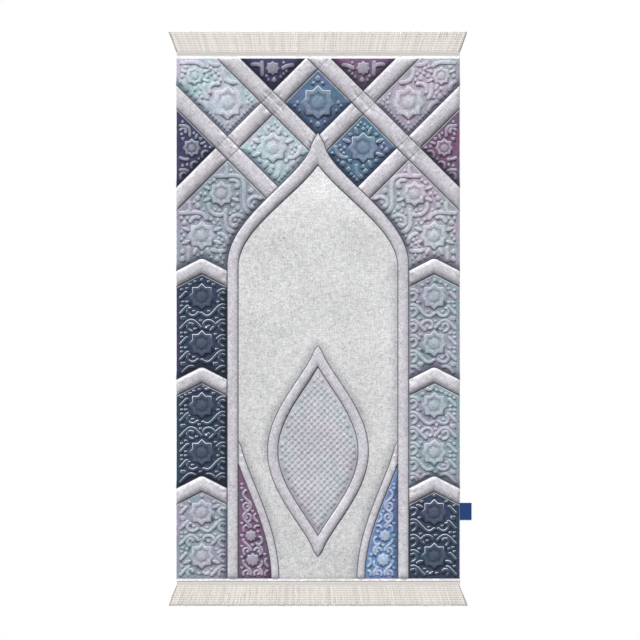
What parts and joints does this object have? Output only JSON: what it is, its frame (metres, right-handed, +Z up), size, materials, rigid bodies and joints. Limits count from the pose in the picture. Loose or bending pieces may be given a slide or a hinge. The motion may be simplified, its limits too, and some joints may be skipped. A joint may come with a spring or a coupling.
{
  "type": "padded prayer rug with fringed ends",
  "caption": "Flat padded prayer rug with an arched niche in raised quilted bands, a cotton fringe at each end and a small folded tab on one side.",
  "frame": {"origin": "middle of the flat underside of the padded cloth, which lies on the floor", "axes": "+Z up, +Y along the rug to the end with the tip of the niche, +X across to the side with the tab"},
  "size_m": [0.6963, 1.323, 0.0135],
  "materials": {
    "printed_plush": "printed short plush over padding",
    "cotton_yarn": "twisted cream yarn",
    "woven_ribbon": "blue woven ribbon"
  },
  "bodies": {
    "root": {"rug_body": "printed_plush", "fringe_top": "cotton_yarn", "fringe_bottom": "cotton_yarn", "side_label": "woven_ribbon"}
  },
  "joints": []
}
